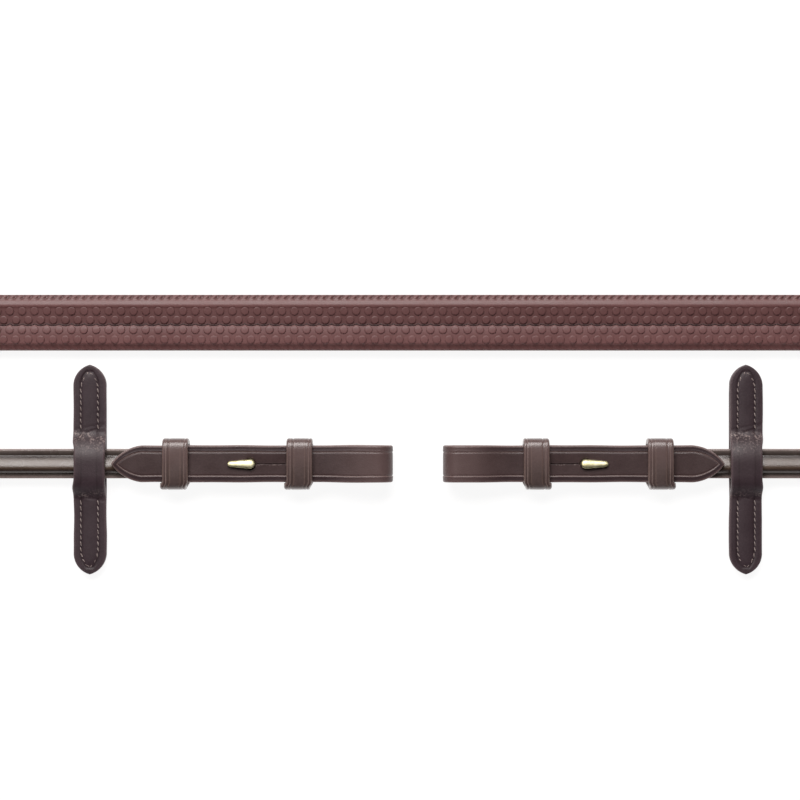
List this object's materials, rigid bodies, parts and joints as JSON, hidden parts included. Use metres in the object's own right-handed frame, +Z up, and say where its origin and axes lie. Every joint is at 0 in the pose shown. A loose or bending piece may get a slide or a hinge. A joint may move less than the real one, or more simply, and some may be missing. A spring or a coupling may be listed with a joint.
{
  "type": "leather reins",
  "caption": "Pair of riding reins: rubber-covered grip, raised front straps with sliding stops, and folded bit ends closed by hook studs, joined by a centre buckle.",
  "frame": {"origin": "middle of the laid-out reins, on the surface they lie on", "axes": "+X along the straps, towards the right bit end's roll; +Y from the bit ends to the grip; +Z up from the table"},
  "size_m": [0.8726, 0.1252, 0.0244],
  "materials": {
    "strap_leather": "dressed bridle leather, dark havana brown, semi-gloss",
    "raised_leather": "raised strap, polished ridge between matte flanges",
    "stop_leather": "dark brown leather, lightly scuffed",
    "grip_rubber": "pimpled red-brown rubber, matte",
    "brass": "polished brass",
    "thread": "waxed linen thread, greyish brown"
  },
  "bodies": {
    "reins": {"billet_left": "strap_leather", "hook_stud_left": "brass", "stud_washer_left": "brass", "keeper_fixed_left": "strap_leather", "front_strap_left": "raised_leather", "front_run_left": "raised_leather", "splice_stitching_left": "thread", "roll_left": "grip_rubber", "billet_right": "strap_leather", "hook_stud_right": "brass", "stud_washer_right": "brass", "keeper_fixed_right": "strap_leather", "front_strap_right": "raised_leather", "front_run_right": "raised_leather", "splice_stitching_right": "thread", "roll_right": "grip_rubber", "grip_right": "grip_rubber", "grip_run_right": "grip_rubber", "grip_left": "grip_rubber", "grip_seam_thread": "thread", "hand_strap_right": "strap_leather", "hand_strap_left": "strap_leather", "buckle_keeper_fixed": "strap_leather"},
    "stop_left": {"stop_front_left": "stop_leather", "stop_back_left": "stop_leather", "stop_stitching_left": "thread"},
    "runner_left": {"keeper_runner_left": "strap_leather"},
    "stop_right": {"stop_front_right": "stop_leather", "stop_back_right": "stop_leather", "stop_stitching_right": "thread"},
    "runner_right": {"keeper_runner_right": "strap_leather"},
    "buckle": {"buckle_frame": "brass"},
    "tongue": {"buckle_tongue": "brass"},
    "buckle_runner": {"buckle_keeper_runner": "strap_leather"}
  },
  "joints": [
    {"name": "stop_left_slide", "type": "slide", "parent": "reins", "child": "stop_left", "axis": [-1, 0, 0], "range_m": [-0.0025, 0.027]},
    {"name": "runner_left_slide", "type": "slide", "parent": "reins", "child": "runner_left", "axis": [-1, 0, 0], "range_m": [-0.014, 0.007]},
    {"name": "stop_right_slide", "type": "slide", "parent": "reins", "child": "stop_right", "axis": [1, 0, 0], "range_m": [-0.0025, 0.027]},
    {"name": "runner_right_slide", "type": "slide", "parent": "reins", "child": "runner_right", "axis": [1, 0, 0], "range_m": [-0.014, 0.007]},
    {"name": "buckle_frame_hinge", "type": "hinge", "parent": "reins", "child": "buckle", "pos_m": [-0.22663, 0.05056, 0.00615], "axis": [0, -1, 0], "range_deg": [0, 5]},
    {"name": "buckle_tongue_hinge", "type": "hinge", "parent": "buckle", "child": "tongue", "pos_m": [-0.22663, 0.05056, 0.00615], "axis": [0, -1, 0], "range_deg": [0, 6]},
    {"name": "buckle_runner_slide", "type": "slide", "parent": "reins", "child": "buckle_runner", "axis": [-1, 0, 0], "range_m": [-0.006, 0.008]}
  ]
}
